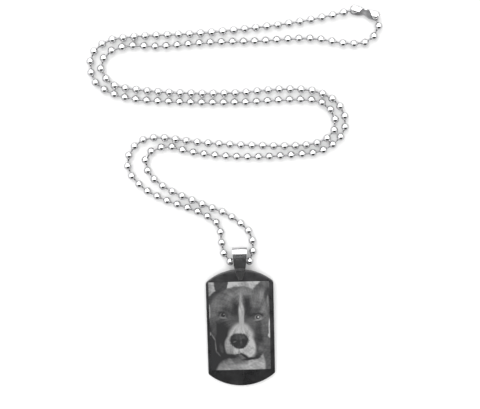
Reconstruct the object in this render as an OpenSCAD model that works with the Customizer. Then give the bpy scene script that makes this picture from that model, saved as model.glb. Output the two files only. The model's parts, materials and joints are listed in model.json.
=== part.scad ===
// Engraved tag pendant with its bail, lying on a ball chain that a connector closes to a loop.
// Millimetres, +Z up. The origin is on the table, under the middle of the whole piece.

/* [Tag] */
// Width of the tag over its straight sides
tag_w = 26.5; // [24:0.5:30]
// Length of the tag over its two round ends
tag_l = 47.3; // [44:0.1:50]
// Thickness of the tag
tag_t = 1.6; // [1.2:0.1:2]
// Radius of the round ends
end_r = 20; // [18:0.5:24]
// Radius of the four corners
corner_r = 1.2; // [0.8:0.1:2]
// Width of the bevel around both faces
bevel = 0.35; // [0.1:0.05:0.5]
// Diameter of the hole that the bail pins through
hole_d = 2; // [1.9:0.1:2.1]

/* [Engraved panel] */
// Width of the panel that carries the picture
panel_w = 23.8; // [20:0.1:24]
// Height of the panel
panel_l = 36; // [30:0.1:36.2]
// Depth of the panel below the face
panel_depth = 0.1; // [0.05:0.05:0.3]

/* [Bail] */
// Thickness of the bail's strip
strip_t = 0.6; // [0.4:0.05:0.7]
// Radius over the fold of the strip
fold_r = 2.4; // [2.3:0.05:2.6]
// Width of the strip at its fold
fold_w = 5.8; // [4.8:0.1:6.4]
// Width of the strip at its two tips
tip_w = 1.9; // [1.6:0.1:2.2]

/* [Chain] */
// Diameter of a ball
ball_d = 3.15; // [2.9:0.05:3.2]
// Wall of a ball
ball_wall = 0.3; // [0.2:0.05:0.35]
// Number of balls on the loop
ball_count = 177; // [170:1:180]
// Diameter of the wire between two balls
pin_d = 0.6; // [0.4:0.05:0.65]

/* [Connector] */
// Diameter over a cup of the connector
cup_d = 4; // [3.8:0.05:4.2]
// Wall of the connector
cup_wall = 0.3; // [0.25:0.05:0.4]
// Distance between the balls in its two cups
cup_gap = 8.3; // [8:0.1:9]
// Diameter of its pinched waist
waist_d = 2.8; // [2.6:0.1:3]
// Length over which the waist is drawn in
waist_l = 4.8; // [4:0.2:5.2]
// Width of the slot along its open side
slot_w = 2.7; // [2.6:0.05:2.8]

/* [Hidden] */
$fn = 32;

// Where the middle of the tag lies, and how far it is turned on the table
tag_at = [2.75, -51.15];
tag_turn = 1.45;
// Middle of the engraved panel on the tag
panel_at = [-0.3, 0.95];
// The hole and the bail sit a little right of the tag's middle line
bail_x = 0.35;
hole_y = 20.8;
// Along the tag's own length: the middles of the bail's fold and of its lower bend
fold_y = 30.05;
bend_y = 25.6;
// Angle at which the strip closes towards the tag
strip_turn = 25;
// Where the strip ends on the face of the tag
tip_y = 19.45;
// Half the width of the strip on its way from the fold to the tips, by place along the tag
shoulder_y = 26.6;
shoulder_w = 5;
neck_y = 23.2;
neck_w = 3.9;
// Clear space between the strip and the face of the tag
strip_gap = 0.1;
prong_d = 1.4;
// Reach of a cutter past what it cuts
past = 1;

end_y = tag_l / 2 - end_r;
corner_x = tag_w / 2 - corner_r;
corner_y = end_y + sqrt(pow(end_r - corner_r, 2) - pow(corner_x, 2));

// The tag leans from the bend of the bail down to the lower end of its back face
lean = asin((fold_r - tag_t / 2) / (bend_y + tag_l / 2 - bevel));
lift = fold_r - bend_y * sin(lean);

ball_r = ball_d / 2;
hollow_r = ball_r - ball_wall;
// The hole in a ball, wider than the wire, and the head that keeps the wire in it
pin_hole_d = pin_d + 0.3;
head_d = pin_hole_d + 0.4;
head_h = 0.4;
head_back = 0.35;

// The connector lies here, turned to follow the chain and rolled so that its open side faces up
clasp_at = [49.65, 71.2, cup_d / 2];
clasp_turn = -15.5;
slot_roll = 33;
clasp_reach = cup_gap / 2 * [cos(clasp_turn), sin(clasp_turn), 0];
cup_end = 1.6;
end_hole_d = 1.8;
// The waist is open from above in a round of this radius, set off from the connector's middle line,
// down to a little below that line
mouth_r = 2.4;
mouth_y = -1;
mouth_drop = 0.2;
// Points on each half of the waist's soft curve
waist_steps = 6;

// Way of the chain on the table from the left cup, through the bail, to the right cup.
// Each row is x, y and how far the ball is lifted off the table.
way = [
    [41.6, 71.2, 0.5], [29, 68.5, 0], [12, 66, 0], [-13, 63.5, 0], [-40, 62, 0],
    [-48, 60.5, 0], [-53.5, 56, 0], [-54.5, 51.5, 0], [-53, 45.5, 0], [-48.5, 41.8, 0],
    [-40, 39, 0], [-18, 37.5, 0], [4, 37.5, 0], [25, 38.5, 0],
    [33.5, 37.5, 0], [38.5, 32.5, 0], [38.5, 26.5, 0], [34, 22.6, 0],
    [26, 21, 0], [8, 21, 0], [-12, 22, 0], [-29, 24, 0],
    [-35, 23, 0], [-40, 18, 0], [-40.5, 11.5, 0], [-35, 4.5, 0],
    [-27, 0, 0], [-12, -5.7, 0], [-6, -10, 0], [-4.5, -18, 0], [-3.5, -22, 0.3],
    [-0.5, -25, 0.7], [2.5, -25.7, 0.8], [6, -24.5, 0.7], [7.5, -21, 0.3],
    [7.5, -17, 0], [6, -12.5, 0], [-3, -5.5, 0], [-11, -2.3, 0], [-27, 5, 0],
    [-33, 11, 0], [-33.5, 17, 0], [-26, 20.5, 0], [-17, 18.5, 0],
    [-5, 17, 0], [8, 16.5, 0], [25, 17.5, 0], [34, 18.9, 0],
    [41, 24, 0], [43, 30, 0], [40, 37, 0], [32, 41.5, 0],
    [20, 42.5, 0], [0, 41, 0], [-20, 41, 0], [-38.5, 42.5, 0],
    [-46.5, 44.5, 0], [-50.5, 51, 0], [-47, 56.5, 0], [-39, 58.8, 0],
    [-30, 58.5, 0], [-9, 60, 0], [8.5, 60.5, 0], [30, 61.5, 0],
    [43, 59.7, 0], [50, 60, 0], [53.7, 63, 0], [54.9, 66.6, 0.5],
];
// Places worked out between two points of the way
way_steps = 12;

route = [
    clasp_at - clasp_reach,
    for (w = way) [w[0], w[1], w[2] + ball_r],
    clasp_at + clasp_reach,
];

// A smooth curve through the points of the route, after Catmull and Rom
function knot(t, a, b) = t + sqrt(norm(b - a));
function mix(a, b, ta, tb, t) = ((tb - t) * a + (t - ta) * b) / (tb - ta);
function between(p, q, r, s, u) =
    let (
        t1 = knot(0, p, q),
        t2 = knot(t1, q, r),
        t3 = knot(t2, r, s),
        t = t1 + u * (t2 - t1),
        a = mix(p, q, 0, t1, t),
        b = mix(q, r, t1, t2, t),
        c = mix(r, s, t2, t3, t)
    )
    mix(mix(a, b, 0, t2, t), mix(b, c, t1, t3, t), t1, t2, t);

function on_table(p) = [p[0], p[1], max(p[2], ball_r)];
last = len(route) - 1;
ends = concat([2 * route[0] - route[1]], route, [2 * route[last] - route[last - 1]]);
curve = [
    for (i = [1:last], k = [0:way_steps - 1])
        on_table(between(ends[i - 1], ends[i], ends[i + 1], ends[i + 2], k / way_steps)),
    route[last],
];
lengths = [
    for (i = 0, s = 0; i < len(curve); i = i + 1, s = i < len(curve) ? s + norm(curve[i] - curve[i - 1]) : s) s
];
pitch = lengths[len(lengths) - 1] / (ball_count - 1);
function along(s) = [for (axis = [0:2]) lookup(s, [for (i = [0:len(curve) - 1]) [lengths[i], curve[i][axis]]])];
balls = [for (i = [0:ball_count - 1]) along(i * pitch)];

// Puts its children, drawn around Z, on the line from a to b
module toward(a, b) {
    v = b - a;
    translate(a)
        rotate([0, acos(v[2] / norm(v)), atan2(v[1], v[0])])
            children();
}

// Places a shape that is drawn around the middle of the tag
module lay_tag() {
    translate([tag_at[0], tag_at[1], lift])
        rotate([0, 0, tag_turn])
            rotate([lean, 0, 0])
                children();
}

// A round plate of the tag's thickness with both rims bevelled
module round_plate(r) {
    cylinder(r = r, h = tag_t - 2 * bevel, center = true);
    for (side = [0, 1])
        mirror([0, 0, side])
            translate([0, 0, tag_t / 2 - bevel])
                cylinder(r1 = r, r2 = r - bevel, h = bevel);
}

// A straight bar as wide as the tag with both long edges bevelled
module side_bar() {
    half_w = tag_w / 2;
    half_t = tag_t / 2;
    rotate([90, 0, 0])
        linear_extrude(tag_l + 2 * past, center = true)
            polygon([
                [-half_w, -half_t + bevel], [-half_w + bevel, -half_t],
                [half_w - bevel, -half_t], [half_w, -half_t + bevel],
                [half_w, half_t - bevel], [half_w - bevel, half_t],
                [-half_w + bevel, half_t], [-half_w, half_t - bevel],
            ]);
}

// What is cut from a sharp corner before its round post goes in
module corner_cut() {
    tangent = end_r / (end_r - corner_r);
    far = 3 * corner_r;
    translate([0, 0, -past])
        linear_extrude(2 * past)
            polygon([
                [corner_x, corner_y],
                [corner_x + far, corner_y],
                [corner_x + far, corner_y + far],
                [corner_x * (1 + (tangent - 1) * 3), end_y + (corner_y - end_y) * (1 + (tangent - 1) * 3)],
            ]);
}

module each_corner() {
    for (x = [0, 1], y = [0, 1])
        mirror([x, 0, 0])
            mirror([0, y, 0])
                children();
}

module tag_blank() {
    difference() {
        intersection() {
            side_bar();
            union() {
                translate([0, end_y, 0])
                    round_plate(end_r);
                translate([0, -end_y, 0])
                    round_plate(end_r);
            }
        }
        each_corner()
            corner_cut();
    }
    each_corner()
        translate([corner_x, corner_y, 0])
            round_plate(corner_r);
}

module tag_plate() {
    color([0.24, 0.24, 0.24])
        lay_tag()
            difference() {
                tag_blank();
                translate([panel_at[0], panel_at[1], tag_t / 2 - panel_depth + past / 2])
                    cube([panel_w, panel_l, past], center = true);
                translate([bail_x, hole_y, 0])
                    cylinder(d = hole_d, h = tag_t + 2 * past, center = true);
            }
}

// One side of the folded strip seen from its edge: r over the bends, h from the tag's middle
module strip_side(r, h, tip) {
    start = [bend_y - r * sin(strip_turn), r * cos(strip_turn)];
    meet_y = start[0] - (start[1] - h) / tan(strip_turn);
    translate([fold_y, 0])
        circle(r = r);
    translate([bend_y, 0])
        circle(r = r);
    translate([bend_y, -r])
        square([fold_y - bend_y, 2 * r]);
    polygon([
        [bend_y, 0], start, [meet_y, h], [tip, h],
        [tip, -h], [meet_y, -h], [start[0], -start[1]],
    ]);
}

// Outline of the strip seen from the front
module strip_front() {
    polygon([
        [-fold_w / 2, fold_y + fold_r + past], [fold_w / 2, fold_y + fold_r + past],
        [fold_w / 2, fold_y + fold_r], [shoulder_w / 2, shoulder_y], [neck_w / 2, neck_y],
        [tip_w / 2, tip_y + tip_w / 2], [-tip_w / 2, tip_y + tip_w / 2],
        [-neck_w / 2, neck_y], [-shoulder_w / 2, shoulder_y], [-fold_w / 2, fold_y + fold_r],
    ]);
    translate([0, tip_y + tip_w / 2])
        circle(d = tip_w);
}

module bail() {
    leg = tag_t / 2 + strip_gap;
    color([0.26, 0.26, 0.26])
        lay_tag()
            translate([bail_x, 0, 0]) {
                intersection() {
                    rotate([90, 0, 90])
                        linear_extrude(fold_w + past, center = true)
                            difference() {
                                strip_side(fold_r, leg + strip_t, tip_y - past);
                                strip_side(fold_r - strip_t, leg, tip_y - 2 * past);
                            }
                    linear_extrude(3 * fold_r, center = true)
                        strip_front();
                }
                translate([0, hole_y, 0])
                    cylinder(d = prong_d, h = 2 * leg + strip_t, center = true);
            }
}

function heading(a, b) = atan2(b[1] - a[1], b[0] - a[0]);

// One hollow ball, drilled towards the ball before it, with its wire to the ball after it.
// The ball is turned so that its seam lies between the hole and the wire.
module link(before, here, after) {
    to_hole = before == undef ? heading(here, after) + 180 : heading(here, before);
    to_wire = after == undef ? to_hole + 180 : heading(here, after);
    seam = (to_hole + to_wire) / 2;
    difference() {
        union() {
            translate(here)
                rotate([0, 0, seam])
                    sphere(r = ball_r);
            if (after != undef)
                toward(here, after) {
                    cylinder(d = pin_d, h = norm(after - here) - head_back);
                    translate([0, 0, norm(after - here) - head_back - head_h])
                        cylinder(d = head_d, h = head_h);
                }
        }
        translate(here)
            rotate([0, 0, seam])
                sphere(r = hollow_r);
        if (before != undef)
            toward(here, before)
                cylinder(d = pin_hole_d, h = ball_d);
    }
}

module ball_chain() {
    color("silver")
        for (i = [0:ball_count - 1])
            link(balls[i - 1], balls[i], balls[i + 1]);
}

// Radius of the connector at a share of the way from the middle of its waist to its cup
function waist_side(cup_r, waist_r, share) = waist_r + (cup_r - waist_r) * (1 - cos(180 * share)) / 2;

// Half the connector's outline, with its long axis upright: two cups with round outer ends,
// each as wide as its ball end up to the waist, which is drawn in softly between them
module clasp_half(cup_r, waist_r, end_r, reach) {
    intersection() {
        union() {
            for (side = [-1, 1])
                translate([0, side * cup_gap / 2])
                    circle(r = cup_r);
            polygon(concat(
                [[0, -cup_gap / 2], [cup_r, -cup_gap / 2]],
                [
                    for (i = [-waist_steps:waist_steps])
                        [waist_side(cup_r, waist_r, i / waist_steps), i / waist_steps * waist_l / 2]
                ],
                [[cup_r, cup_gap / 2], [0, cup_gap / 2]]
            ));
            square([2 * end_r, cup_gap + 2 * reach], center = true);
        }
        translate([0, -cup_gap / 2 - reach])
            square([cup_r, cup_gap + 2 * reach]);
    }
}

module chain_clasp() {
    cup_r = cup_d / 2;
    color("gray")
        translate(clasp_at)
            rotate([0, 0, clasp_turn])
                difference() {
                    rotate([0, 90, 0])
                        rotate_extrude()
                            difference() {
                                clasp_half(cup_r, waist_d / 2, end_hole_d / 2, cup_end);
                                clasp_half(cup_r - cup_wall, waist_d / 2 - cup_wall, end_hole_d / 2, cup_end + past);
                            }
                    // The slot runs along the open side and through both ends
                    rotate([-slot_roll, 0, 0])
                        translate([0, -cup_r, 0])
                            cube([cup_gap + 2 * cup_end + 2 * past, 2 * cup_r, slot_w], center = true);
                    // The waist is open wider still, where a ball goes in
                    translate([0, mouth_y, -mouth_drop])
                        cylinder(r = mouth_r, h = cup_r + past, $fn = 64);
                }
}

tag_plate();
bail();
ball_chain();
chain_clasp();
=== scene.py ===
"""The looks of an engraved tag pendant that lies on a table with its ball chain.

The pieces are drawn in millimetres, because modelling tools merge and round at that scale,
and each one is brought to metres and put in its place when it is finished.
"""

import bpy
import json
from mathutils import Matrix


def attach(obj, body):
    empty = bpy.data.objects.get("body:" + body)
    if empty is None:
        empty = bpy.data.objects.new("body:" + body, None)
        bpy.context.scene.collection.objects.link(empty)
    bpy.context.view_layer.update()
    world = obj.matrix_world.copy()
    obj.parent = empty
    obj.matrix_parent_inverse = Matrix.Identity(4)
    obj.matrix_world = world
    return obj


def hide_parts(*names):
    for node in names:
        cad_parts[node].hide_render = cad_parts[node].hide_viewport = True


bl_info = {
    "name": "Engraved Tag Pendant",
    "version": (1, 0, 0),
    "blender": (4, 5, 0),
    "location": "View3D > Sidebar > Pendant",
    "description": "Builds a black engraved tag with its bail, ball chain and connector",
    "category": "Add Mesh",
}

import json
import math
from types import SimpleNamespace

import bmesh
import bpy
import numpy as np
from bpy.props import FloatProperty, FloatVectorProperty, IntProperty, PointerProperty
from bpy.types import Operator, Panel, PropertyGroup
from mathutils import Matrix, Vector

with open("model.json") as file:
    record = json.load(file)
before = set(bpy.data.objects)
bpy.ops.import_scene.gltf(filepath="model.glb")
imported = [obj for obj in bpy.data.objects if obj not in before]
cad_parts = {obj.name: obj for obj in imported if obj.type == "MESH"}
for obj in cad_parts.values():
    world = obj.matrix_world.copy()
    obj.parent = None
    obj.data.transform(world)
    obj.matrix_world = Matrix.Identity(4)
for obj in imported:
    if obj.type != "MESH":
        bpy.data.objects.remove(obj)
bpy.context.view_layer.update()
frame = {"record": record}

MM = 0.001
# Points that are closer than this are one point, in millimetres
MERGE = 0.0005

# The panel's mount says where the tag lies: its axis holds the turn on the table and the lean
PANEL_MOUNT = frame["record"]["mounts"][0]
PANEL_AXIS = Vector(PANEL_MOUNT["axis"])
TAG_TURN = Matrix.Rotation(math.atan2(PANEL_AXIS.x, -PANEL_AXIS.y), 4, "Z")
TAG_LEAN = Matrix.Rotation(math.acos(PANEL_AXIS.z), 4, "X")

# Way of the chain on the table from the left cup, through the bail, to the right cup.
# Each point is x, y and how far the ball is lifted off the table, in millimetres.
WAY = [
    (41.6, 71.2, 0.5), (29, 68.5, 0), (12, 66, 0), (-13, 63.5, 0), (-40, 62, 0),
    (-48, 60.5, 0), (-53.5, 56, 0), (-54.5, 51.5, 0), (-53, 45.5, 0), (-48.5, 41.8, 0),
    (-40, 39, 0), (-18, 37.5, 0), (4, 37.5, 0), (25, 38.5, 0),
    (33.5, 37.5, 0), (38.5, 32.5, 0), (38.5, 26.5, 0), (34, 22.6, 0),
    (26, 21, 0), (8, 21, 0), (-12, 22, 0), (-29, 24, 0),
    (-35, 23, 0), (-40, 18, 0), (-40.5, 11.5, 0), (-35, 4.5, 0),
    (-27, 0, 0), (-12, -5.7, 0), (-6, -10, 0), (-4.5, -18, 0), (-3.5, -22, 0.3),
    (-0.5, -25, 0.7), (2.5, -25.7, 0.8), (6, -24.5, 0.7), (7.5, -21, 0.3),
    (7.5, -17, 0), (6, -12.5, 0), (-3, -5.5, 0), (-11, -2.3, 0), (-27, 5, 0),
    (-33, 11, 0), (-33.5, 17, 0), (-26, 20.5, 0), (-17, 18.5, 0),
    (-5, 17, 0), (8, 16.5, 0), (25, 17.5, 0), (34, 18.9, 0),
    (41, 24, 0), (43, 30, 0), (40, 37, 0), (32, 41.5, 0),
    (20, 42.5, 0), (0, 41, 0), (-20, 41, 0), (-38.5, 42.5, 0),
    (-46.5, 44.5, 0), (-50.5, 51, 0), (-47, 56.5, 0), (-39, 58.8, 0),
    (-30, 58.5, 0), (-9, 60, 0), (8.5, 60.5, 0), (30, 61.5, 0),
    (43, 59.7, 0), (50, 60, 0), (53.7, 63, 0), (54.9, 66.6, 0.5),
]
# Places worked out between two points of the way
WAY_STEPS = 12


def length(name, description, millimetres):
    """A size property, shown as a length."""
    return FloatProperty(
        name=name, description=description, default=millimetres * MM, unit="LENGTH", precision=5
    )


def angle(name, description, degrees):
    """An angle property."""
    return FloatProperty(
        name=name, description=description, default=math.radians(degrees), subtype="ANGLE"
    )


def colour(name, description, value):
    """A colour property."""
    return FloatVectorProperty(
        name=name, description=description, default=value, subtype="COLOR", min=0, max=1
    )


class TagSizes(PropertyGroup):
    """Sizes of the tag and its picture panel"""

    width: length("Width", "Over the straight sides", 26.5)
    height: length("Height", "Over the two round ends", 47.3)
    thickness: length("Thickness", "Thickness of the steel", 1.6)
    end_radius: length("End Radius", "Radius of the two round ends", 20)
    corner_radius: length("Corner Radius", "Radius of the four corners", 1.2)
    rim: length("Rim", "Width of the rounded rim", 0.35)
    hole: length("Hole", "Diameter of the hole that the bail pins through", 2)
    hole_x: length("Hole Across", "Hole and bail, right of the middle line", 0.35)
    hole_y: length("Hole Along", "Hole above the middle of the tag", 20.8)
    panel_width: length("Panel Width", "Width of the picture panel", 23.8)
    panel_height: length("Panel Height", "Height of the picture panel", 36)
    panel_depth: length("Panel Depth", "Depth of the panel below the face", 0.1)
    panel_x: length("Panel Across", "Middle of the panel from the middle of the tag", -0.3)
    panel_y: length("Panel Along", "Middle of the panel from the middle of the tag", 0.95)


class BailSizes(PropertyGroup):
    """Sizes of the folded strip, along the tag's own length where they are places"""

    thickness: length("Thickness", "Thickness of the strip", 0.6)
    fold_radius: length("Fold Radius", "Radius over the fold", 2.4)
    fold_width: length("Fold Width", "Width at the fold", 5.8)
    tip_width: length("Tip Width", "Width at the two tips", 1.9)
    fold_y: length("Fold", "Middle of the fold", 30.05)
    bend_y: length("Bend", "Where the strip turns to the tag", 25.6)
    shoulder_y: length("Shoulder", "Where the strip starts to narrow", 26.6)
    shoulder_width: length("Shoulder Width", "Width at the shoulder", 5)
    neck_y: length("Neck", "Where the strip meets the tag", 23.2)
    neck_width: length("Neck Width", "Width at the neck", 3.9)
    tip_y: length("Tip", "Where the strip ends", 19.45)
    gap: length("Gap", "Clear space between the strip and the tag", 0.1)
    crown: length("Crown", "Rise of the strip between bend and fold", 0.15)
    prong: length("Prong", "Diameter of the prong through the hole", 1.4)
    turn: angle("Closing Angle", "Angle at which the strip closes towards the tag", 25)


class ChainSizes(PropertyGroup):
    """Sizes of the ball chain"""

    ball: length("Ball", "Diameter of a ball", 3.15)
    wire: length("Wire", "Diameter of the wire between two balls", 0.6)
    count: IntProperty(name="Balls", description="Number of balls on the loop", default=177)


class ConnectorSizes(PropertyGroup):
    """Sizes and place of the connector"""

    cup: length("Cup", "Diameter over a cup", 4)
    wall: length("Wall", "Thickness of the sheet", 0.3)
    gap: length("Gap", "Distance between the balls in the two cups", 8.3)
    waist: length("Waist", "Diameter of the pinched waist", 2.8)
    waist_length: length("Waist Length", "Length over which the waist is drawn in", 4.8)
    mouth: length("Mouth", "Radius of the round opening over the waist", 2.4)
    mouth_y: length("Mouth Along", "Middle of the mouth from the long axis", -1)
    mouth_drop: length("Mouth Drop", "How far the mouth reaches below the long axis", 0.2)
    reach: length("Reach", "From the middle of a cup to its end", 1.6)
    hole: length("Hole", "Diameter of the hole in each end", 1.8)
    slot: length("Slot", "Width of the slot along the open side", 2.7)
    x: length("Across", "Place on the table", 49.65)
    y: length("Along", "Place on the table", 71.2)
    turn: angle("Turn", "Turn on the table", -15.5)
    slot_roll: angle("Slot Roll", "How far the slot is rolled from the side to the top", 33)


class Finishes(PropertyGroup):
    """Colours of the finishes"""

    coat: colour("Black Coating", "Coating of the tag", (0.021, 0.021, 0.022))
    wear: colour("Worn Coating", "Coating rubbed thin in patches and scratches", (0.2, 0.2, 0.205))
    plating: colour("Black Plating", "Glossy plating of the bail", (0.47, 0.47, 0.475))
    mark: colour("Engraved Steel", "Lightest tone of the engraving", (0.325, 0.325, 0.325))
    steel: colour("Bright Steel", "Polished steel of the chain", (0.58, 0.58, 0.585))
    wire: colour("Wire Steel", "Steel of the wires between the balls", (0.2, 0.2, 0.205))
    connector: colour("Connector Steel", "Polished outside of the connector", (0.65, 0.65, 0.655))
    # Darker matt grey of the connector's inside: partly its unpolished steel, partly painted shade
    # in the trough
    shaded_inner_steel: colour("Inner Steel", "Matt inside of the connector", (0.28, 0.28, 0.285))
    table: colour("Table", "Plain pale table", (0.75, 0.75, 0.75))


class PendantSettings(PropertyGroup):
    """All the sizes and colours of the pendant"""

    tag: PointerProperty(type=TagSizes)
    bail: PointerProperty(type=BailSizes)
    chain: PointerProperty(type=ChainSizes)
    connector: PointerProperty(type=ConnectorSizes)
    finishes: PointerProperty(type=Finishes)


def in_millimetres(group, plain=("turn", "slot_roll", "count")):
    """The sizes of a group by name, lengths in millimetres."""
    sizes = {}
    for name in group.__annotations__:
        value = getattr(group, name)
        sizes[name] = value if name in plain else round(value / MM, 4)
    return SimpleNamespace(**sizes)


def deselect():
    """Deselects all objects, which comes before each new piece."""
    bpy.ops.object.select_all(action="DESELECT")


def only(piece):
    """Selects one piece alone and makes it active."""
    deselect()
    piece.select_set(True)
    bpy.context.view_layer.objects.active = piece


def editing(piece):
    """Opens a piece for editing, with everything in it selected."""
    only(piece)
    bpy.ops.object.mode_set(mode="EDIT")
    bpy.ops.mesh.select_mode(type="VERT")
    bpy.ops.mesh.select_all(action="SELECT")


def done_editing():
    """Closes the piece that is being edited."""
    bpy.ops.object.mode_set(mode="OBJECT")


def named(name):
    """Names the object that was just added."""
    piece = bpy.context.object
    piece.name = name
    piece.data.name = name
    return piece


def pick(piece, kind, test):
    """While a piece is edited, selects those of its vertices, edges or faces that pass a test."""
    bpy.ops.mesh.select_mode(type=kind)
    bpy.ops.mesh.select_all(action="DESELECT")
    shape = bmesh.from_edit_mesh(piece.data)
    for part in {"VERT": shape.verts, "EDGE": shape.edges, "FACE": shape.faces}[kind]:
        part.select_set(test(part))
    shape.select_flush_mode()
    bmesh.update_edit_mesh(piece.data)


def outward():
    """Turns every face of the closed piece that is being edited outwards."""
    bpy.ops.mesh.select_all(action="SELECT")
    bpy.ops.mesh.normals_make_consistent(inside=False)


def single_point(name, place):
    """A new piece of one vertex, open for editing."""
    deselect()
    bpy.ops.mesh.primitive_plane_add(size=1)
    piece = named(name)
    editing(piece)
    bpy.ops.mesh.merge(type="CENTER")
    bpy.ops.transform.translate(value=place)
    return piece


def draw_to(*step):
    """Extrudes the selected end by a step."""
    bpy.ops.mesh.extrude_region_move(TRANSFORM_OT_translate={"value": step})


def apply(piece, kind, **settings):
    """Adds one modifier to a piece, sets it and applies it."""
    only(piece)
    modifier = piece.modifiers.new(kind.title(), kind)
    for name, value in settings.items():
        setattr(modifier, name, value)
    bpy.ops.object.modifier_apply(modifier=modifier.name)


def round_edges(piece, width, segments, degrees):
    """Rounds the edges of a piece that are sharper than an angle."""
    limit = math.radians(degrees)
    apply(piece, "BEVEL", width=width, segments=segments, limit_method="ANGLE", angle_limit=limit)


def cut_away(piece, cutter):
    """Cuts one solid from another and deletes the cutter."""
    apply(piece, "BOOLEAN", operation="DIFFERENCE", solver="EXACT", object=cutter)
    bpy.data.objects.remove(cutter)
    if not piece.data.vertices:
        raise RuntimeError(f"nothing is left of {piece.name} after its cut")


def box(name, place, size):
    """A box by its middle and its size."""
    deselect()
    bpy.ops.mesh.primitive_cube_add(size=1, location=place, scale=size)
    bpy.ops.object.transform_apply(location=True, rotation=True, scale=True)
    return named(name)


def rod(name, place, radius, depth, vertices=48, turned=(0, 0, 0)):
    """A round rod by its middle, radius and length, upright unless turned."""
    deselect()
    bpy.ops.mesh.primitive_cylinder_add(
        vertices=vertices, radius=radius, depth=depth, location=place, rotation=turned
    )
    bpy.ops.object.transform_apply(location=True, rotation=True, scale=True)
    return named(name)


def join(name, pieces):
    """Joins pieces to one."""
    deselect()
    for piece in pieces:
        piece.select_set(True)
    bpy.context.view_layer.objects.active = pieces[0]
    bpy.ops.object.join()
    return named(name)


def smooth(piece, degrees):
    """Shades a piece smooth but for edges sharper than an angle."""
    only(piece)
    bpy.ops.object.shade_smooth_by_angle(angle=math.radians(degrees))


def to_place(piece, place):
    """Brings a piece from millimetres to metres and puts its place in its mesh."""
    piece.data.transform(place @ Matrix.Scale(MM, 4))
    piece.data.update()


def hand_over(piece, slot, *nodes):
    """Makes a finished piece part of the pendant."""
    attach(piece, "root")
    if nodes:
        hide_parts(*nodes)


def tag_place(tag):
    """Where the middle of the tag lies, turned on the table and leaning on the bail's bend."""
    panel = Vector((tag.panel_x, tag.panel_y, tag.thickness / 2 - tag.panel_depth)) * MM
    turned = TAG_TURN @ TAG_LEAN
    return Matrix.Translation(Vector(PANEL_MOUNT["pos_m"]) - turned @ panel) @ turned


def add_node(tree, kind, inputs=None, **settings):
    """Adds a shader node and sets its inputs by name and its own settings."""
    node = tree.nodes.new(kind)
    for name, value in settings.items():
        setattr(node, name, value)
    for name, value in (inputs or {}).items():
        socket = node.inputs[name]
        if isinstance(value, bpy.types.NodeSocket):
            tree.links.new(value, socket)
        else:
            socket.default_value = value
    return node


def new_material(name, **fixed):
    """A material with one Principled shader, whose fixed values sit on its own sockets."""
    material = bpy.data.materials.new(name)
    material.use_nodes = True
    tree = material.node_tree
    shader = tree.nodes["Principled BSDF"]
    for socket, value in fixed.items():
        shader.inputs[socket.replace("_", " ")].default_value = value
    return material, tree, shader


def on_piece(tree, scale=(1, 1, 1), turn=0):
    """Positions on the piece in its own metres, turned about Z and stretched by a scale."""
    place = add_node(tree, "ShaderNodeTexCoord").outputs["Object"]
    inputs = {"Vector": place, "Rotation": (0, 0, turn), "Scale": scale}
    return add_node(tree, "ShaderNodeMapping", inputs).outputs["Vector"]


def noise(tree, vector, scale, detail=3, roughness=0.5):
    """Soft noise between 0 and 1."""
    values = {"Vector": vector, "Scale": scale, "Detail": detail, "Roughness": roughness}
    return add_node(tree, "ShaderNodeTexNoise", values).outputs["Fac"]


def ranged(tree, value, low, high, to_low, to_high):
    """Maps a value from one range to another and clamps it."""
    sources = {"Value": value, "From Min": low, "From Max": high}
    results = {"To Min": to_low, "To Max": to_high}
    return add_node(tree, "ShaderNodeMapRange", {**sources, **results}).outputs["Result"]


def calculated(tree, operation, *values):
    """The result of one calculation with numbers or sockets."""
    return add_node(tree, "ShaderNodeMath", dict(enumerate(values)), operation=operation).outputs[0]


# Sockets of the mix node for colours: its share and two colours, and its result
MIX_INPUTS = (0, 6, 7)
MIX_OUTPUT = 2


def mixed(tree, share, first, second):
    """Mixes two colours by a share."""
    values = dict(zip(MIX_INPUTS, (share, first, second)))
    return add_node(tree, "ShaderNodeMix", values, data_type="RGBA").outputs[MIX_OUTPUT]


def bumped(tree, height, strength, distance):
    """A bumped normal from a height, its distance in metres."""
    values = {"Height": height, "Strength": strength, "Distance": distance}
    return add_node(tree, "ShaderNodeBump", values).outputs["Normal"]


def connect(tree, shader, **results):
    """Connects results to the shader's inputs by their names."""
    for name, result in results.items():
        tree.links.new(result, shader.inputs[name.replace("_", " ")])


def opaque(value):
    """A colour property as four numbers."""
    return (*value, 1)


# How much longer a scratch is than it is wide
SCRATCH_STRETCH = 30


def scratches(tree, turn, scale, width):
    """Thin straight marks in one direction, 1 on a mark and 0 beside it."""
    place = on_piece(tree, (scale, scale / SCRATCH_STRETCH, scale), turn)
    return ranged(tree, noise(tree, place, 1, 2), 0.5 + width, 0.5 + 2 * width, 0, 1)


# How fine the unevenness of the finishes is, in waves a metre of the piece
WORN_PATCHES = 260
POLISH_CLOUDS = 420
POLISH_GRAIN = 1600
STRIP_CLOUDS = 500
STRIP_GRAIN = 1500
COAT_GRAIN = 9000
# How high the finishes' grain stands, and how strongly the tag's marks bare the worn coating
BUMP_HEIGHT = 0.02 * MM
POLISH_HEIGHT = 0.03 * MM
MARK_STRENGTH = 0.25


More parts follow.
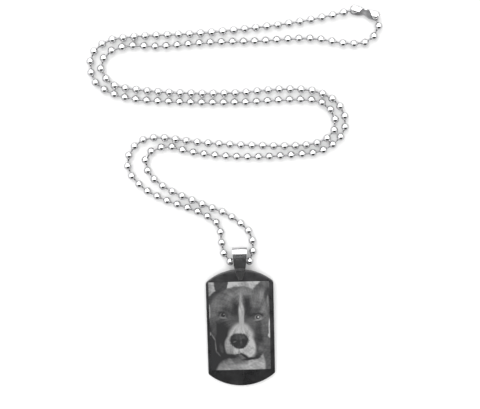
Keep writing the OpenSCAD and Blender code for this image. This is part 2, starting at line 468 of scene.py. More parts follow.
def black_coat(name, finishes, roughness, grain):
    """Black coating on steel: fine grain, faint scratches and a rubbed look in patches."""
    material, tree, shader = new_material(name, Metallic=0.55, Coat_Weight=0.15, Coat_Roughness=0.2)
    patches = noise(tree, on_piece(tree), WORN_PATCHES, 4)
    marks = scratches(tree, math.radians(24), 3200, 0.17)
    cross = scratches(tree, math.radians(-58), 2600, 0.18)
    both = calculated(tree, "MAXIMUM", marks, cross)
    rubbed = ranged(tree, patches, 0.35, 0.75, 0.0, 0.12)
    share = calculated(tree, "MULTIPLY_ADD", both, MARK_STRENGTH, rubbed)
    grains = noise(tree, on_piece(tree, (1, 0.35, 1)), COAT_GRAIN, 2, 0.6)
    connect(
        tree, shader,
        Base_Color=mixed(tree, share, opaque(finishes.coat), opaque(finishes.wear)),
        Roughness=ranged(tree, patches, 0.3, 0.7, roughness - 0.05, roughness + 0.06),
        Normal=bumped(tree, grains, grain, BUMP_HEIGHT),
    )
    return material


def gloss_black(finishes):
    """Dark plating of the bail, nearly a mirror, with faint marks from handling."""
    material, tree, shader = new_material("black_strip", Metallic=1.0)
    marks = scratches(tree, math.radians(78), 2400, 0.17)
    marked = [1.15 * part for part in finishes.plating]
    clouds = noise(tree, on_piece(tree), STRIP_CLOUDS)
    grains = noise(tree, on_piece(tree), STRIP_GRAIN, 2)
    connect(
        tree, shader,
        Base_Color=mixed(tree, marks, opaque(finishes.plating), opaque(marked)),
        Roughness=ranged(tree, clouds, 0.3, 0.7, 0.13, 0.19),
        Normal=bumped(tree, grains, 0.03, BUMP_HEIGHT),
    )
    return material


def polish(tree, low, high):
    """Roughness of polished steel, which changes softly over the piece."""
    return ranged(tree, noise(tree, on_piece(tree), POLISH_CLOUDS), 0.3, 0.7, low, high)


def polish_marks(tree):
    """Normal of polished steel with its faint grain."""
    return bumped(tree, noise(tree, on_piece(tree), POLISH_GRAIN, 2), 0.08, POLISH_HEIGHT)


def bright_steel(name, colour_value, roughness):
    """Polished steel with faint polishing marks and a slightly uneven gloss."""
    material, tree, shader = new_material(name, Metallic=1.0, Specular_Tint=(0.85, 0.85, 0.85, 1))
    shader.inputs["Base Color"].default_value = opaque(colour_value)
    rough = polish(tree, roughness * 0.7, roughness * 1.4)
    connect(tree, shader, Roughness=rough, Normal=polish_marks(tree))
    return material


def connector_steel(finishes):
    """Sheet steel of the connector, polished outside, and matt and darker grey inside, where the
    darker grey is partly painted shade in the trough.
    """
    material, tree, shader = new_material("bright_connector")
    inside = add_node(tree, "ShaderNodeAttribute", attribute_name="inside").outputs["Fac"]
    connect(
        tree, shader,
        Base_Color=mixed(tree, inside, opaque(finishes.connector), opaque(finishes.shaded_inner_steel)),
        Metallic=ranged(tree, inside, 0, 1, 1, 0),
        Roughness=calculated(tree, "MULTIPLY_ADD", inside, 0.5, polish(tree, 0.08, 0.15)),
        Normal=polish_marks(tree),
    )
    return material


# The laser's lines are this far apart, and a wave texture of scale 1 has 20 / (2 pi) waves a metre
RASTER = 0.1 * MM
RASTER_SCALE = 2 * math.pi / (20 * RASTER)


def engraved_steel(finishes):
    """Engraving: the laser turns the coating to matt grey steel, more where the tone is light."""
    material, tree, shader = new_material(
        "engraved_steel", Metallic=0.0, Roughness=0.5, Specular_IOR_Level=0.1
    )
    tone = add_node(tree, "ShaderNodeAttribute", attribute_name="tone").outputs["Fac"]
    lines = add_node(
        tree, "ShaderNodeTexWave", {"Vector": on_piece(tree), "Scale": RASTER_SCALE},
        wave_type="BANDS", bands_direction="Y", wave_profile="SIN",
    ).outputs["Fac"]
    marked = calculated(tree, "MULTIPLY", tone, ranged(tree, lines, 0, 1, 0.9, 1.1))
    connect(
        tree, shader,
        Base_Color=mixed(tree, marked, opaque(finishes.coat), opaque(finishes.mark)),
        Normal=bumped(tree, lines, 0.2, BUMP_HEIGHT / 2),
    )
    return material


def tag_outline(tag):
    """The tag's outline as one face: a quarter of arcs and a straight side, mirrored twice."""
    end_y = tag.height / 2 - tag.end_radius
    corner_x = tag.width / 2 - tag.corner_radius
    corner_y = end_y + math.sqrt((tag.end_radius - tag.corner_radius) ** 2 - corner_x**2)
    end_angle = math.atan2(corner_x, corner_y - end_y)
    corner_angle = math.pi / 2 - end_angle
    piece = single_point("tag_body", (0, tag.height / 2, 0))
    bpy.ops.mesh.spin(steps=36, angle=end_angle, center=(0, end_y, 0), axis=(0, 0, 1))
    bpy.ops.mesh.spin(steps=8, angle=corner_angle, center=(corner_x, corner_y, 0), axis=(0, 0, 1))
    draw_to(0, -corner_y, 0)
    done_editing()
    apply(piece, "MIRROR", use_axis=(True, True, False), merge_threshold=MERGE)
    editing(piece)
    bpy.ops.mesh.remove_doubles(threshold=MERGE)
    bpy.ops.mesh.select_all(action="SELECT")
    bpy.ops.mesh.edge_face_add()
    return piece


# Steps on the rim's rounding, and the height of the box that cuts the panel
RIM_STEPS = 4
PANEL_CUT = 1


class PENDANT_OT_cut_tag(Operator):
    """Cut the black tag with rounded rims, the picture panel and the hole for the bail"""

    bl_idname = "pendant.cut_tag"
    bl_label = "Tag"

    def execute(self, context):
        tag = in_millimetres(context.scene.pendant.tag)
        top = tag.thickness / 2
        piece = tag_outline(tag)
        draw_to(0, 0, tag.thickness)
        bpy.ops.mesh.select_all(action="SELECT")
        bpy.ops.transform.translate(value=(0, 0, -top))
        outward()
        pick(piece, "EDGE", lambda edge: abs(edge.verts[0].co.z - edge.verts[1].co.z) < MERGE)
        bpy.ops.mesh.bevel(offset=tag.rim, segments=RIM_STEPS, affect="EDGES")
        done_editing()
        panel = box(
            "panel_cutter",
            (tag.panel_x, tag.panel_y, top - tag.panel_depth + PANEL_CUT / 2),
            (tag.panel_width, tag.panel_height, PANEL_CUT),
        )
        cut_away(piece, panel)
        hole_place = (tag.hole_x, tag.hole_y, 0)
        cut_away(piece, rod("hole_cutter", hole_place, tag.hole / 2, 2 * tag.thickness))
        smooth(piece, 30)
        coat = black_coat("black_steel", context.scene.pendant.finishes, roughness=0.3, grain=0.25)
        piece.data.materials.append(coat)
        to_place(piece, tag_place(tag))
        hand_over(piece, "black_steel", "tag_plate")
        return {"FINISHED"}


# Steps on the bail's middle line around its fold, its bends, its crown and its tip
FOLD_STEPS = 14
BEND_STEPS = 4
CROWN_STEPS = 6
TIP_STEPS = 5
# The strip eases onto the tag over this length, from this far above its run along the tag
EASE = 0.5
EASE_RISE = 0.05
# How much of the quarter round at the tip is drawn before the strip ends
TIP_SHARE = 0.92
# Width of the rounding on the strip's edges
STRIP_EDGE = 0.12


def arc(middle, radius, start, turn, steps):
    """Points of an arc around a middle on the first axis, from its start over its turn."""
    angles = [start + turn * step / steps for step in range(steps + 1)]
    return [(middle + radius * math.cos(angle), radius * math.sin(angle)) for angle in angles]


def crown_y(bail, step):
    """Place of a crown step between the fold and the bend."""
    return bail.fold_y + (bail.bend_y - bail.fold_y) * step / CROWN_STEPS


def crown_strip(piece, bail):
    """Raises the upper run of the strip to a low crown, which the lower run on the table lacks."""
    for step in range(1, CROWN_STEPS):
        y = crown_y(bail, step)
        pick(piece, "VERT", lambda vert: vert.co.z > 0 and abs(vert.co.y - y) < MERGE)
        rise = bail.crown * math.sin(math.pi * step / CROWN_STEPS)
        bpy.ops.transform.translate(value=(0, 0, rise))


def bail_line(bail, leg):
    """Points along the tag and up from it on the middle of the strip, from its fold to its tip."""
    middle = bail.fold_radius - bail.thickness / 2
    points = arc(bail.fold_y, middle, 0, math.pi / 2, FOLD_STEPS)
    points += [(crown_y(bail, step), middle) for step in range(1, CROWN_STEPS + 1)]
    points += arc(bail.bend_y, middle, math.pi / 2, bail.turn, BEND_STEPS)[1:]
    meet_y = points[-1][0] - (points[-1][1] - leg) / math.tan(bail.turn)
    points.append((meet_y + EASE * math.cos(bail.turn), leg + EASE * math.sin(bail.turn)))
    points.append((meet_y, leg + EASE_RISE))
    points.append((meet_y - EASE, leg))
    round_y = bail.tip_y + bail.tip_width / 2
    for step in range(TIP_STEPS + 1):
        angle = math.pi / 2 * step / TIP_STEPS * TIP_SHARE
        points.append((round_y - bail.tip_width / 2 * math.sin(angle), leg))
    return points


def bail_width(bail, y):
    """Width of the strip at a place along the tag."""
    round_y = bail.tip_y + bail.tip_width / 2
    if y < round_y:
        return 2 * math.sqrt(max((bail.tip_width / 2) ** 2 - (round_y - y) ** 2, 0))
    places = [round_y, bail.neck_y, bail.shoulder_y, bail.fold_y + bail.fold_radius]
    widths = [bail.tip_width, bail.neck_width, bail.shoulder_width, bail.fold_width]
    return float(np.interp(y, places, widths))


class PENDANT_OT_fold_bail(Operator):
    """Fold the bail's strip and pin its two tips together"""

    bl_idname = "pendant.fold_bail"
    bl_label = "Bail"

    def execute(self, context):
        tag = in_millimetres(context.scene.pendant.tag)
        bail = in_millimetres(context.scene.pendant.bail)
        leg = tag.thickness / 2 + bail.gap + bail.thickness / 2
        line = bail_line(bail, leg)
        width = bail_width(bail, line[0][0])
        piece = single_point("bail_strip", (-width / 2, *line[0]))
        draw_to(width, 0, 0)
        bpy.ops.mesh.select_all(action="SELECT")
        for before, here in zip(line, line[1:]):
            draw_to(0, here[0] - before[0], here[1] - before[1])
            new_width = bail_width(bail, here[0])
            bpy.ops.transform.resize(value=(new_width / width, 1, 1), center_override=(0, *here))
            width = new_width
        done_editing()
        apply(piece, "MIRROR", use_axis=(False, False, True), merge_threshold=MERGE)
        editing(piece)
        crown_strip(piece, bail)
        outward()
        done_editing()
        apply(piece, "SOLIDIFY", thickness=bail.thickness, offset=0)
        round_edges(piece, STRIP_EDGE, segments=3, degrees=50)
        prong = rod("prong", (0, tag.hole_y, 0), bail.prong / 2, 2 * leg, 24)
        piece = join("bail_strip", [piece, prong])
        smooth(piece, 40)
        piece.data.transform(Matrix.Translation((tag.hole_x, 0, 0)))
        piece.data.materials.append(gloss_black(context.scene.pendant.finishes))
        to_place(piece, tag_place(tag))
        hand_over(piece, "black_strip", "bail")
        return {"FINISHED"}


def way_point(before, start, end, after, share):
    """A place between two points of the way on a smooth curve, after Catmull and Rom."""
    t1 = math.sqrt((start - before).length)
    t2 = t1 + math.sqrt((end - start).length)
    t3 = t2 + math.sqrt((after - end).length)
    t = t1 + share * (t2 - t1)

    def mix(a, b, ta, tb):
        return ((tb - t) * a + (t - ta) * b) / (tb - ta)

    first = mix(before, start, 0, t1)
    second = mix(start, end, t1, t2)
    third = mix(end, after, t2, t3)
    return mix(mix(first, second, 0, t2), mix(second, third, t1, t3), t1, t2)


def ball_places(chain, connector):
    """Middles of the balls along the whole loop, a pitch apart."""
    radius = chain.ball / 2
    middle = Vector((connector.x, connector.y, connector.cup / 2))
    reach = Vector((math.cos(connector.turn), math.sin(connector.turn), 0)) * connector.gap / 2
    laid = [Vector((x, y, lift + radius)) for x, y, lift in WAY]
    route = [middle - reach, *laid, middle + reach]
    ends = [2 * route[0] - route[1], *route, 2 * route[-1] - route[-2]]
    curve = []
    for four in zip(ends, ends[1:], ends[2:], ends[3:]):
        for step in range(WAY_STEPS):
            point = way_point(*four, step / WAY_STEPS)
            point.z = max(point.z, radius)
            curve.append(point)
    curve.append(route[-1])
    points = np.array(curve)
    lengths = np.concatenate([[0], np.cumsum(np.linalg.norm(np.diff(points, axis=0), axis=1))])
    stops = np.linspace(0, lengths[-1], chain.count)
    places = [np.interp(stops, lengths, points[:, axis]) for axis in range(3)]
    return [Vector(place) for place in np.column_stack(places)]


def laid_along(middle, direction):
    """The place of a model on the chain, with its X axis in a direction."""
    return Matrix.Translation(middle) @ direction.to_track_quat("X", "Z").to_matrix().to_4x4()


def copies(model, places, name):
    """Copies of one model, each with its own mesh at its own place, joined to one piece."""
    made = []
    for place in places:
        copy = model.copy()
        copy.data = model.data.copy()
        copy.data.transform(place)
        bpy.context.collection.objects.link(copy)
        made.append(copy)
    bpy.data.objects.remove(model)
    return join(name, made)


# Sides and rings of a ball, and sides of a wire
BALL_SIDES = 12
BALL_RINGS = 8
WIRE_SIDES = 8
# How deep a ball's hole is drawn in, and how much narrower it gets
HOLE_DEPTH = 0.3
HOLE_TAPER = 0.8
# Length over which a wire grows thicker beside a ball, and how much
FLARE_LENGTH = 0.15
FLARE = 1.3


def ball_model(chain):
    """One ball with its two poles on the chain's line, each drawn in around the wire."""
    deselect()
    bpy.ops.mesh.primitive_uv_sphere_add(
        segments=BALL_SIDES, ring_count=BALL_RINGS, radius=chain.ball / 2
    )
    piece = named("ball_model")
    editing(piece)
    for side in (-1, 1):
        pick(
            piece, "FACE",
            lambda face: len(face.verts) == 3 and face.calc_center_median().z * side > 0,
        )
        bpy.ops.mesh.dissolve_faces()
        draw_to(0, 0, -side * HOLE_DEPTH)
        bpy.ops.transform.resize(value=(HOLE_TAPER, HOLE_TAPER, 1))
    done_editing()
    piece.data.transform(Matrix.Rotation(math.pi / 2, 4, "Y"))
    smooth(piece, 50)
    return piece


def wire_model(chain, pitch):
    """One wire between two balls, a little thicker where it enters them."""
    gap = pitch - chain.ball
    along_x = (0, math.pi / 2, 0)
    piece = rod("wire_model", (0, 0, 0), chain.wire / 2, gap, WIRE_SIDES, along_x)
    editing(piece)
    for side in (-1, 1):
        pick(piece, "FACE", lambda face: face.normal.x * side > 0.9)
        draw_to(side * FLARE_LENGTH, 0, 0)
        bpy.ops.transform.resize(value=(1, FLARE, FLARE))
        draw_to(side * (HOLE_DEPTH - FLARE_LENGTH), 0, 0)
    done_editing()
    smooth(piece, 60)
    return piece


class PENDANT_OT_string_chain(Operator):
    """String the balls and their wires along the way of the chain"""

    bl_idname = "pendant.string_chain"
    bl_label = "Ball Chain"

    def execute(self, context):
        chain = in_millimetres(context.scene.pendant.chain)
        connector = in_millimetres(context.scene.pendant.connector)
        balls = ball_places(chain, connector)
        steps = [after - before for before, after in zip(balls, balls[1:])]
        pitch = sum(step.length for step in steps) / len(steps)
        between = [a.normalized() + b.normalized() for a, b in zip(steps, steps[1:])]
        headings = [steps[0], *between, steps[-1]]
        ball_spots = [laid_along(ball, heading) for ball, heading in zip(balls, headings)]
        wire_spots = [laid_along(ball + step / 2, step) for ball, step in zip(balls, steps)]
        finishes = context.scene.pendant.finishes
        spheres = copies(ball_model(chain), ball_spots, "chain_balls")
        wires = copies(wire_model(chain, pitch), wire_spots, "chain_wires")
        spheres.data.materials.append(bright_steel("bright_balls", finishes.steel, roughness=0.04))
        wires.data.materials.append(bright_steel("wire_steel", finishes.wire, roughness=0.15))
        for piece in (spheres, wires):
            to_place(piece, Matrix.Identity(4))
            hand_over(piece, "bright_balls", "ball_chain")
        return {"FINISHED"}


def spun_shell(name, outer, inner):
    """A closed wall spun around the X axis from the points of its outer and inner side."""
    points = outer + inner[::-1]
    piece = single_point(name, (points[0][0], points[0][1], 0))
    for before, here in zip(points, points[1:]):
        draw_to(here[0] - before[0], here[1] - before[1], 0)
    bpy.ops.mesh.select_all(action="SELECT")
    # A face closes the outline, and is taken away again
    bpy.ops.mesh.edge_face_add()
    pick(piece, "EDGE", lambda edge: True)
    bpy.ops.mesh.delete(type="ONLY_FACE")
    bpy.ops.mesh.select_all(action="SELECT")
    bpy.ops.mesh.spin(steps=SHELL_STEPS, angle=2 * math.pi, center=(0, 0, 0), axis=(1, 0, 0))
    bpy.ops.mesh.select_all(action="SELECT")
    bpy.ops.mesh.remove_doubles(threshold=MERGE)
    outward()
    done_editing()
    return piece


# Steps of the connector's outline around an end and along half of the waist
END_STEPS = 10
WAIST_STEPS = 6
# Width of the rounding on the connector's edges, and how far its slot is cut past its ends
SHEET_EDGE = 0.06
SLOT_PAST = 1
# Steps around the connector, and around the round mouth over its waist
SHELL_STEPS = 48
MOUTH_STEPS = 64


def cup_side(connector, shrink, end_radius):
    """Points of the connector's long side from its left end to its right end.

    The outer side has no end radius and is cut off flat, and the inner side ends in the hole.
    """
    half = connector.gap / 2
    cup = connector.cup / 2 - shrink
    waist = connector.waist / 2 - shrink
    if end_radius is None:
        start = math.acos(-connector.reach / cup)
        points = []
    else:
        start = math.pi - math.asin(end_radius / cup)
        points = [(-half - connector.reach, end_radius)]
    points += arc(-half, cup, start, math.pi / 2 - start, END_STEPS)
    for step in range(WAIST_STEPS):
        share = 1 - step / WAIST_STEPS
        radius = waist + (cup - waist) * (1 - math.cos(math.pi * share)) / 2
        points.append((-share * connector.waist_length / 2, radius))
    return points + [(0, waist)] + [(-x, radius) for x, radius in reversed(points)]


def mark_inside(piece):
    """Marks the faces that look towards the connector's long axis, which the connector's steel
    paints a darker grey, partly as painted shade in the trough.
    """
    marks = piece.data.attributes.new("inside", "FLOAT", "FACE")
    for face in piece.data.polygons:
        outwards = Vector((0, face.center.y, face.center.z)).normalized()
        marks.data[face.index].value = 1 if face.normal.dot(outwards) < -0.5 else 0


class PENDANT_OT_close_connector(Operator):
    """Form the connector: two cups, a pinched open waist and a slot along its side"""

    bl_idname = "pendant.close_connector"
    bl_label = "Connector"

    def execute(self, context):
        connector = in_millimetres(context.scene.pendant.connector)
        cup = connector.cup / 2
        whole_length = connector.gap + 2 * connector.reach
        outer = cup_side(connector, 0, None)
        inner = cup_side(connector, connector.wall, connector.hole / 2)
        piece = spun_shell("connector_shell", outer, inner)
        slot_size = (whole_length + 2 * SLOT_PAST, 2 * cup, connector.slot)
        slot = box("slot_cutter", (0, -cup, 0), slot_size)
        slot.data.transform(Matrix.Rotation(-connector.slot_roll, 4, "X"))
        cut_away(piece, slot)
        middle = (0, connector.mouth_y, cup - connector.mouth_drop)
        cut_away(piece, rod("mouth_cutter", middle, connector.mouth, 2 * cup, MOUTH_STEPS))
        round_edges(piece, SHEET_EDGE, segments=2, degrees=40)
        smooth(piece, 35)
        mark_inside(piece)
        piece.data.materials.append(connector_steel(context.scene.pendant.finishes))
        turned = Matrix.Rotation(connector.turn, 4, "Z")
        to_place(piece, Matrix.Translation(Vector((connector.x, connector.y, cup)) * MM) @ turned)
        hand_over(piece, "bright_connector", "chain_clasp")
        return {"FINISHED"}


# The engraving shows a dog's face, painted from soft round forms, each one over those before it.
# Each form: its middle, its two radii, its lean in degrees, its grey and the softness of its edge.
# Lengths are in millimetres from the middle of the panel, y up. Greys are as the eye sees them.
PICTURE_FORMS = [
    # Light room behind the head, with the dark ground below it on the left
    ((-10.8, 14.5), (1.6, 4.6), 0, 0.62, 0.5),
    ((1.8, 17.6), (9.0, 3.4), 0, 0.72, 0.15),
    ((-11.6, 16.5), (0.8, 3.6), 0, 0.56, 0.8),
    ((-11.0, -12), (5.5, 13), -12, 0.14, 0.3),
    ((11.5, -13), (4.5, 9), 0, 0.34, 0.5),
    # Shoulders and the light chest
    ((-0.4, -20.6), (9.9, 9.4), 0, 0.47, 0.16),
    ((6.2, -17.0), (3.6, 6.0), -6, 0.64, 0.3),
    ((8.0, -12.9), (1.0, 1.8), -12, 0.60, 0.7),
    ((1.0, -18.0), (7.6, 2.2), 0, 0.60, 0.6),
    # Left ear, folded away, and right ear with its lighter rim
    ((-6.9, 17.4), (2.7, 4.0), -14, 0.26, 0.2),
    ((-9.6, 12.0), (4.2, 1.7), 40, 0.25, 0.4),
    ((9.8, 13.8), (3.4, 6.0), -26, 0.40, 0.2),
    ((6.6, 14.6), (0.5, 2.8), -42, 0.30, 1.2),
    ((10.2, 12.6), (0.5, 0.7), 0, 0.2, 1.2),
    ((10.9, 12.0), (1.3, 3.2), -10, 0.27, 0.8),
    ((8.4, 12.0), (1.1, 2.8), -22, 0.49, 1.2),
    ((11.2, 9.8), (0.45, 2.4), 0, 0.48, 0.8),
    ((7.2, 15.4), (1.0, 2.4), -38, 0.36, 0.9),
    # Head with its cheeks
    ((-0.2, 5.6), (11.4, 10.4), 0, 0.37, 0.10),
    ((0.6, -3.4), (10.9, 10.2), 0, 0.32, 0.10),
    ((0.8, 11.8), (6.6, 3.6), 0, 0.43, 1.2),
    ((2.2, 14.0), (2.6, 1.6), -20, 0.46, 1.2),
    ((-1.0, 13.6), (3.2, 1.4), 20, 0.47, 1.2),
    ((-7.4, 9.6), (3.4, 3.2), 32, 0.41, 1.2),
    ((7.4, 9.6), (2.8, 2.8), -35, 0.44, 1.2),
    ((-9.4, 4.8), (1.8, 4.5), -8, 0.40, 1.2),
    ((9.8, 4.6), (1.6, 4.6), 10, 0.43, 1.2),
    # Dark hollows beside the bridge of the nose and over the left cheek
    ((-2.0, 8.6), (1.7, 3.2), -16, 0.33, 1.4),
    ((-1.7, 6.4), (1.4, 2.2), -10, 0.21, 1.5),
    ((3.4, 7.4), (1.5, 4.2), 10, 0.21, 1.5),
    ((-5.0, 6.8), (2.6, 0.9), -20, 0.27, 1.4),
    ((6.2, 6.2), (2.4, 0.9), 16, 0.30, 1.4),
    ((-7.2, -3.0), (3.2, 5.2), 16, 0.16, 1.1),
    ((-7.4, -8.6), (2.6, 5.4), 4, 0.17, 1.0),
    ((-7.4, -9.0), (0.8, 2.6), 12, 0.27, 1.2),
    ((-10.4, -0.4), (1.2, 4.0), 4, 0.32, 1.2),
    ((7.4, -3.0), (1.5, 5.0), 12, 0.25, 1.3),
    ((9.9, -1.6), (1.1, 5.0), 0, 0.38, 1.2),
    ((7.4, -10.2), (1.6, 3.0), -14, 0.36, 1.2),
    ((6.6, -8.4), (0.7, 3.4), 4, 0.30, 1.2),
    ((-3.0, 1.8), (2.6, 1.9), 30, 0.33, 1.2),
    ((4.8, 1.0), (2.3, 1.9), -30, 0.37, 1.2),
    # White blaze and muzzle
    ((0.62, 8.4), (0.62, 4.6), 0, 0.58, 1.0),
    ((0.75, 6.0), (1.15, 3.0), 0, 0.66, 0.7),
    ((0.75, 2.6), (1.0, 3.6), 0, 0.66, 0.6),
    ((0.5, -0.8), (3.0, 2.2), 0, 0.66, 0.9),
    ((0.4, -3.6), (4.9, 3.9), 0, 0.68, 0.5),
    ((-0.2, -7.2), (5.6, 5.0), 0, 0.66, 0.35),
    ((2.9, -8.6), (3.2, 4.6), 12, 0.71, 0.4),
    ((-4.3, -8.4), (1.8, 3.6), 4, 0.58, 0.7),
    # Mouth, chin and the shadow under the jaw
    ((-0.6, -13.4), (3.7, 1.9), 0, 0.40, 0.6),
    ((-4.6, -12.3), (3.8, 0.9), -6, 0.19, 1.2),
    ((1.6, -12.3), (1.9, 0.45), -36, 0.20, 1.2),
    ((-0.9, -11.7), (1.7, 0.4), 16, 0.26, 1.2),
    ((4.0, -13.5), (2.9, 0.5), 8, 0.19, 1.2),
    ((7.0, -12.4), (1.9, 0.7), 40, 0.24, 1.2),
    ((-0.5, -10.2), (0.4, 1.4), 0, 0.52, 1.2),
    # Nose: its leather, its two nostrils and the shine over them
    ((-0.45, -5.7), (3.9, 2.7), 0, 0.22, 0.35),
    ((-0.3, -7.4), (2.7, 2.0), 0, 0.22, 0.35),
    ((-0.2, -4.6), (2.4, 1.1), 0, 0.31, 1.2),
    ((-2.6, -6.2), (0.9, 0.8), 20, 0.13, 1.2),
    ((1.5, -6.4), (1.0, 0.8), -20, 0.13, 1.2),
    ((-2.2, -6.4), (0.7, 0.3), 20, 0.40, 1.2),
    ((0.3, -6.9), (0.5, 1.1), 0, 0.30, 1.2),
    # Eyes: dark lids, light irises, dark pupils and a glint
    ((-6.6, 4.7), (1.9, 1.5), -12, 0.25, 0.9),
    ((-6.6, 3.6), (1.5, 0.4), -10, 0.49, 1.2),
    ((-6.6, 4.4), (1.25, 1.05), 0, 0.45, 0.6),
    ((-6.4, 4.7), (0.8, 0.8), 0, 0.16, 0.6),
    ((-6.1, 4.9), (0.3, 0.3), 0, 0.5, 0.6),
    ((7.4, 4.4), (2.0, 0.9), -4, 0.22, 1.2),
    ((7.3, 2.5), (1.7, 0.45), 8, 0.52, 1.2),
    ((7.3, 3.4), (1.35, 1.05), 0, 0.52, 0.6),
    ((7.3, 3.5), (0.85, 0.75), 0, 0.2, 0.6),
    ((7.4, 3.5), (0.4, 0.4), 0, 0.75, 0.6),
    # Light room seen past both cheeks
    ((-11.8, 6.2), (0.35, 2.9), 0, 0.62, 0.5),
    ((-11.7, -2.9), (0.4, 0.8), 0, 0.45, 0.8),
    ((11.7, -1.0), (0.4, 3.8), 0, 0.70, 0.5),
    ((11.9, -4.0), (0.9, 1.0), 0, 0.72, 0.6),
    # Lit edge of the left cheek over the dark ground
    ((-10.5, -4.4), (0.3, 1.6), 30, 0.42, 1.0),
    ((-9.7, -8.2), (0.3, 2.6), 4, 0.40, 1.0),
    ((-8.7, -11.2), (0.3, 1.4), 36, 0.36, 1.0),
]
# Grey of what no form covers
GROUND_GREY = 0.34
# Where the short hair of the face starts, how strongly it shows, and over what length it sets in
HAIR_FROM = (0.7, 2.0)
HAIR_DEPTH = 0.1
HAIR_SETS_IN = 5
# Waves in a layer of hair, the range of their offsets, and the sum that counts as a full streak
HAIR_WAVES = 12
WAVE_OFFSETS = 6.28
FULL_STREAK = 3.5
# Layers of hair: how fine each one is around its start and away from it, and its seed
HAIR_LAYERS = [(9, 0.9, 3), (24, 2, 9)]
# How far the hair frays the edges of the forms, less for forms larger than this
FRAYED = 0.13
FRAYED_SIZE = 1.5
# Light that the bare coating and the lightest tone give back beside the pale table
BLACK_LIGHT = 0.033
LIGHTEST = 0.52
# How a grey as the eye sees it turns to light, and the strongest tone
EYE_POWER = 2.2
STRONGEST = 1.3


def hair(across, onward, seed):
    """Smooth streaks from a sum of waves in drawn directions."""
    draw = np.random.default_rng(seed)
    total = np.zeros(len(across))
    for _ in range(HAIR_WAVES):
        turn = draw.uniform(0, np.pi)
        pace = 4 ** draw.uniform(0, 1)
        wave = across * np.cos(turn) + onward * np.sin(turn)
        total += np.sin(wave * pace + draw.uniform(0, WAVE_OFFSETS)) / pace**0.5
    return total / FULL_STREAK


def picture_tones(x, y):
    """Tone of the engraving at places on the panel in millimetres, 0 black and 1 light."""
    across, onward = x - HAIR_FROM[0], y - HAIR_FROM[1]
    away, heading = np.hypot(across, onward), np.arctan2(across, -onward)
    streaks = sum(hair(heading * fine, away * out, seed) for fine, out, seed in HAIR_LAYERS)
    grey = np.full(len(x), GROUND_GREY)
    for middle, radii, lean, value, softness in PICTURE_FORMS:
        c, s = np.cos(np.radians(lean)), np.sin(np.radians(lean))
        u, v = x - middle[0], y - middle[1]
        off = np.hypot((u * c + v * s) / radii[0], (v * c - u * s) / radii[1])
        off += FRAYED * streaks / (min(radii) + FRAYED_SIZE)
        share = np.clip((1 - off) / softness + 0.5, 0, 1)
        grey += (value - grey) * share * share * (3 - 2 * share)
    grey *= 1 + HAIR_DEPTH * streaks * np.clip(away / HAIR_SETS_IN, 0, 1)
    light = np.clip(grey, 0, 1) ** EYE_POWER
    return np.clip((light - BLACK_LIGHT) / (LIGHTEST - BLACK_LIGHT), 0, STRONGEST)


# Columns and rows of the picture's grid, its clearance in the panel, its thickness and its lift
COLUMNS, ROWS = 220, 330
PICTURE_GAP = 0.02
PICTURE_THICKNESS = 0.06
PICTURE_LIFT = 0.01


class PENDANT_OT_engrave_picture(Operator):
    """Engrave the picture on its panel"""

    bl_idname = "pendant.engrave_picture"
    bl_label = "Picture"

    def execute(self, context):
        tag = in_millimetres(context.scene.pendant.tag)
        width, height = tag.panel_width - 2 * PICTURE_GAP, tag.panel_height - 2 * PICTURE_GAP
        deselect()
        bpy.ops.mesh.primitive_grid_add(x_subdivisions=COLUMNS, y_subdivisions=ROWS, size=1)
        piece = named("engraved_picture")
        editing(piece)
        bpy.ops.transform.resize(value=(width, height, 1))
        bpy.ops.transform.translate(value=(0, 0, PICTURE_THICKNESS))
        pick(piece, "EDGE", lambda edge: edge.is_boundary)
        draw_to(0, 0, -PICTURE_THICKNESS)
        bpy.ops.mesh.edge_face_add()
        outward()
        done_editing()
        points = np.empty(len(piece.data.vertices) * 3)
        piece.data.vertices.foreach_get("co", points)
        points = points.reshape(-1, 3)
        values = picture_tones(points[:, 0], points[:, 1]).astype(np.float32)
        piece.data.attributes.new("tone", "FLOAT", "POINT").data.foreach_set("value", values)
        piece.data.materials.append(engraved_steel(context.scene.pendant.finishes))
        lift = tag.thickness / 2 - tag.panel_depth + PICTURE_LIFT
        on_tag = Matrix.Translation(Vector((tag.panel_x, tag.panel_y, lift)) * MM)
        to_place(piece, tag_place(tag) @ on_tag)
        hand_over(piece, "black_steel")
        return {"FINISHED"}


# The camera looks down past the upright by CAMERA_TILT, from the connector's side
CAMERA_TARGET = (0.0025, -0.002, 0.0015)
CAMERA_DISTANCE = 0.38218
CAMERA_TILT = math.radians(8)
# Its sensor and its lens are in millimetres, and the sizes of the stage in metres
SENSOR = 36
LENS = 73.875
TABLE_SIZE = 3
# Light of the room at the horizon and overhead
ROOM_LIGHT = (0.5, 1.6)
# The soft box: its place, the point that it faces, its size and its power
SOFT_BOX = ((-0.35, 0.7, 0.75), (0, 0, 0), (1.3, 0.9), 7.5)
# Cards for the reflections: height, left, right, near and far side, and brightness
DARK_CARD = (0.42, -0.32, 0.62, -1.0, -0.03, 0.06)
BRIGHT_CARD = (1.3, -2.6, 2.1, -0.5, 40, 3.4)


def soft_room():
    """A plain room, brighter overhead than at the horizon."""
    world = bpy.data.worlds.new("soft_room")
    world.use_nodes = True
    tree = world.node_tree
    direction = add_node(tree, "ShaderNodeTexCoord").outputs["Generated"]
    height = add_node(tree, "ShaderNodeSeparateXYZ", {"Vector": direction}).outputs["Z"]
    background = tree.nodes["Background"]
    background.inputs["Color"].default_value = (1, 1, 1, 1)
    connect(tree, background, Strength=ranged(tree, height, 0.1, 0.9, *ROOM_LIGHT))
    return world


def soft_light(name, place, target, size, power):
    """A soft box that faces a point."""
    bpy.ops.object.light_add(type="AREA", location=place)
    light = bpy.context.object
    light.name = name
    light.data.shape = "RECTANGLE"
    light.data.size, light.data.size_y = size
    light.data.energy = power
    light.rotation_euler = (Vector(target) - Vector(place)).to_track_quat("-Z", "Y").to_euler()


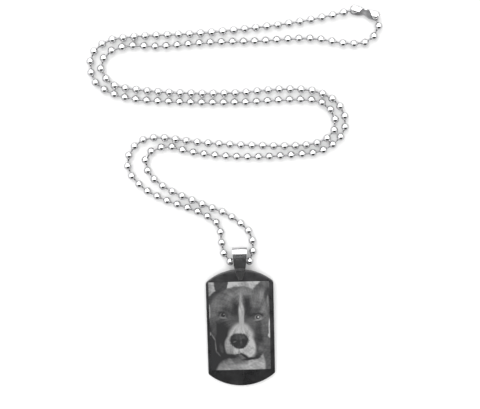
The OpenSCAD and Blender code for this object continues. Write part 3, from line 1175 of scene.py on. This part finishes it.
def reflected_card(name, height, left, right, near, far, brightness):
    """A level card over the table that only reflections see."""
    middle = ((left + right) / 2, (near + far) / 2, height)
    deselect()
    bpy.ops.mesh.primitive_plane_add(size=1, location=middle)
    card = named(name)
    card.scale = (right - left, far - near, 1)
    glow = new_material(
        name, Base_Color=(0, 0, 0, 1), Roughness=1.0, Specular_IOR_Level=0.0,
        Emission_Color=(1, 1, 1, 1), Emission_Strength=brightness,
    )
    card.data.materials.append(glow[0])
    for rays in ("camera", "diffuse", "shadow", "transmission"):
        setattr(card, "visible_" + rays, False)


class PENDANT_OT_lay_table(Operator):
    """Lay the plain table, the soft light and the camera"""

    bl_idname = "pendant.lay_table"
    bl_label = "Table, Light and Camera"

    def execute(self, context):
        scene = context.scene
        scene.view_settings.view_transform = "Standard"
        back = Vector((0, math.sin(CAMERA_TILT), math.cos(CAMERA_TILT)))
        bpy.ops.object.camera_add(
            location=Vector(CAMERA_TARGET) + back * CAMERA_DISTANCE, rotation=(-CAMERA_TILT, 0, 0)
        )
        camera = context.object
        camera.data.lens = LENS
        camera.data.sensor_width = SENSOR
        camera.data.clip_start = 0.01
        scene.camera = camera
        deselect()
        bpy.ops.mesh.primitive_plane_add(size=TABLE_SIZE)
        table = named("table_top")
        paint = new_material(
            "table_top", Base_Color=opaque(scene.pendant.finishes.table), Roughness=0.8
        )
        table.data.materials.append(paint[0])
        scene.world = soft_room()
        soft_light("upper_box", *SOFT_BOX)
        reflected_card("dark_card", *DARK_CARD)
        reflected_card("bright_card", *BRIGHT_CARD)
        return {"FINISHED"}


# The steps in their order: what carries the light and the view first, then the pieces
STEPS = [
    PENDANT_OT_lay_table,
    PENDANT_OT_cut_tag,
    PENDANT_OT_fold_bail,
    PENDANT_OT_string_chain,
    PENDANT_OT_close_connector,
    PENDANT_OT_engrave_picture,
]


class PENDANT_PT_sidebar(Panel):
    """Lists the pieces of the pendant"""

    bl_idname = "PENDANT_PT_sidebar"
    bl_label = "Engraved Tag Pendant"
    bl_space_type = "VIEW_3D"
    bl_region_type = "UI"
    bl_category = "Pendant"

    def draw(self, context):
        for step in STEPS:
            self.layout.operator(step.bl_idname)


CLASSES = [TagSizes, BailSizes, ChainSizes, ConnectorSizes, Finishes, PendantSettings]
CLASSES += STEPS + [PENDANT_PT_sidebar]


def register():
    """Registers the classes and the settings."""
    for each in CLASSES:
        bpy.utils.register_class(each)
    bpy.types.Scene.pendant = PointerProperty(type=PendantSettings)


def unregister():
    """Takes the settings and the classes away again."""
    del bpy.types.Scene.pendant
    for each in reversed(CLASSES):
        bpy.utils.unregister_class(each)


def main():
    """Builds the pendant step by step."""
    register()
    for step in STEPS:
        group, name = step.bl_idname.split(".")
        getattr(getattr(bpy.ops, group), name)()


if __name__ == "__main__":
    main()
